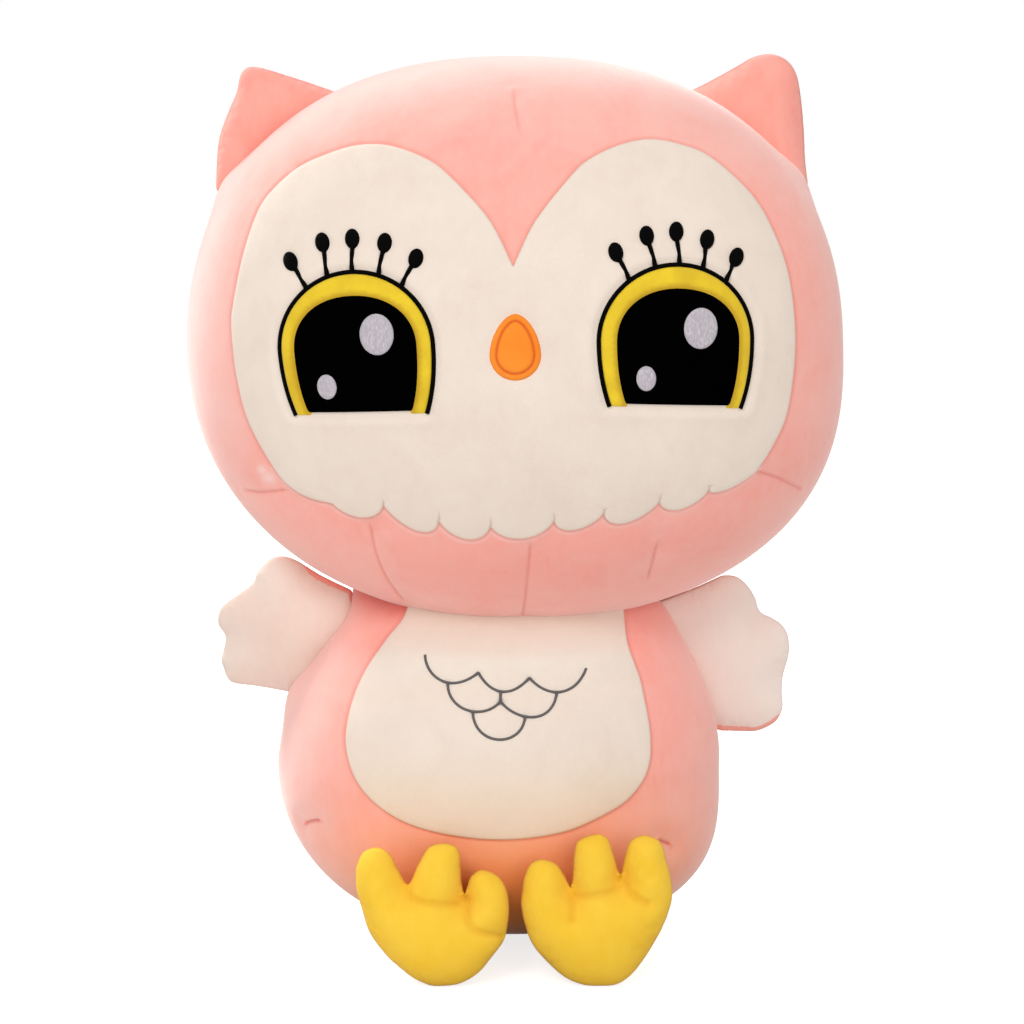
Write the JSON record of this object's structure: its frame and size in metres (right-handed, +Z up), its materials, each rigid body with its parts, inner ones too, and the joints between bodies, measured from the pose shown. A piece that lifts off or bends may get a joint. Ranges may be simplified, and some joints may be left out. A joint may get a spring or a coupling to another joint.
{
  "type": "plush owl",
  "caption": "Seated stuffed owl with a large round head, three-cornered ears, lobed wings, upright feet, applique face and belly, and stuffed seams that bend.",
  "frame": {"origin": "middle of the footprint, on the surface that the owl sits on", "axes": "+Z up, -Y the way that the owl looks, +X to the owl's own left"},
  "size_m": [0.3346, 0.2281, 0.4487],
  "materials": {
    "plush_pink": "short-pile pink plush",
    "plush_cream": "short-pile cream plush",
    "plush_yellow": "short-pile yellow plush",
    "felt_orange": "orange applique cloth",
    "cloth_black": "black satin cloth",
    "satin_yellow": "yellow satin cloth",
    "thread_orange": "orange embroidery thread",
    "thread_black": "black embroidery thread",
    "thread_pale": "pale lilac embroidery thread",
    "thread_grey": "dark grey embroidery thread",
    "stuffing": "white fibre filling"
  },
  "bodies": {
    "torso": {"body_front": "plush_pink", "body_back": "plush_pink", "body_filling": "stuffing", "belly_patch": "plush_cream", "chest_stitching": "thread_grey"},
    "head": {"head_front": "plush_pink", "head_back": "plush_pink", "head_filling": "stuffing", "face_patch": "plush_cream", "beak_patch": "felt_orange", "beak_stitching": "thread_orange", "eye_outline_left": "thread_black", "iris_left": "satin_yellow", "pupil_left": "cloth_black", "glint_large_left": "thread_pale", "glint_small_left": "thread_pale", "eye_outline_right": "thread_black", "iris_right": "satin_yellow", "pupil_right": "cloth_black", "glint_large_right": "thread_pale", "glint_small_right": "thread_pale"},
    "ear_left": {"ear_left_front": "plush_pink", "ear_left_back": "plush_pink", "ear_left_filling": "stuffing"},
    "wing_left": {"wing_left_front": "plush_cream", "wing_left_back": "plush_pink", "wing_left_filling": "stuffing"},
    "foot_left": {"foot_left_sole": "plush_yellow", "foot_left_instep": "plush_yellow", "foot_left_filling": "stuffing"},
    "ear_right": {"ear_right_front": "plush_pink", "ear_right_back": "plush_pink", "ear_right_filling": "stuffing"},
    "wing_right": {"wing_right_front": "plush_cream", "wing_right_back": "plush_pink", "wing_right_filling": "stuffing"},
    "foot_right": {"foot_right_sole": "plush_yellow", "foot_right_instep": "plush_yellow", "foot_right_filling": "stuffing"}
  },
  "joints": [
    {"name": "head_nod", "type": "hinge", "parent": "torso", "child": "head", "pos_m": [0, 0, 0.2707], "axis": [1, 0, 0], "range_deg": [-8, 8], "stiffness_Nm_per_rad": 3},
    {"name": "ear_left_bend", "type": "hinge", "parent": "head", "child": "ear_left", "pos_m": [0.12323, 0.006, 0.40827], "axis": [0.7727, 0, -0.6347], "range_deg": [-12, 12], "stiffness_Nm_per_rad": 0.12},
    {"name": "wing_left_flap", "type": "hinge", "parent": "torso", "child": "wing_left", "pos_m": [0.10758, 0, 0.10761], "axis": [-0.4774, 0, 0.8787], "range_deg": [-35, 35], "stiffness_Nm_per_rad": 0.08},
    {"name": "foot_left_fold", "type": "hinge", "parent": "torso", "child": "foot_left", "pos_m": [0.04002, -0.06597, 0.013], "axis": [1, 0, 0], "range_deg": [0, 45], "stiffness_Nm_per_rad": 0.25},
    {"name": "ear_right_bend", "type": "hinge", "parent": "head", "child": "ear_right", "pos_m": [-0.12323, 0.006, 0.40827], "axis": [0.7727, 0, 0.6347], "range_deg": [-12, 12], "stiffness_Nm_per_rad": 0.12},
    {"name": "wing_right_flap", "type": "hinge", "parent": "torso", "child": "wing_right", "pos_m": [-0.11805, 0, 0.1271], "axis": [0.5489, 0, 0.8359], "range_deg": [-35, 35], "stiffness_Nm_per_rad": 0.08},
    {"name": "foot_right_fold", "type": "hinge", "parent": "torso", "child": "foot_right", "pos_m": [-0.04002, -0.06597, 0.013], "axis": [1, 0, 0], "range_deg": [0, 45], "stiffness_Nm_per_rad": 0.25}
  ]
}
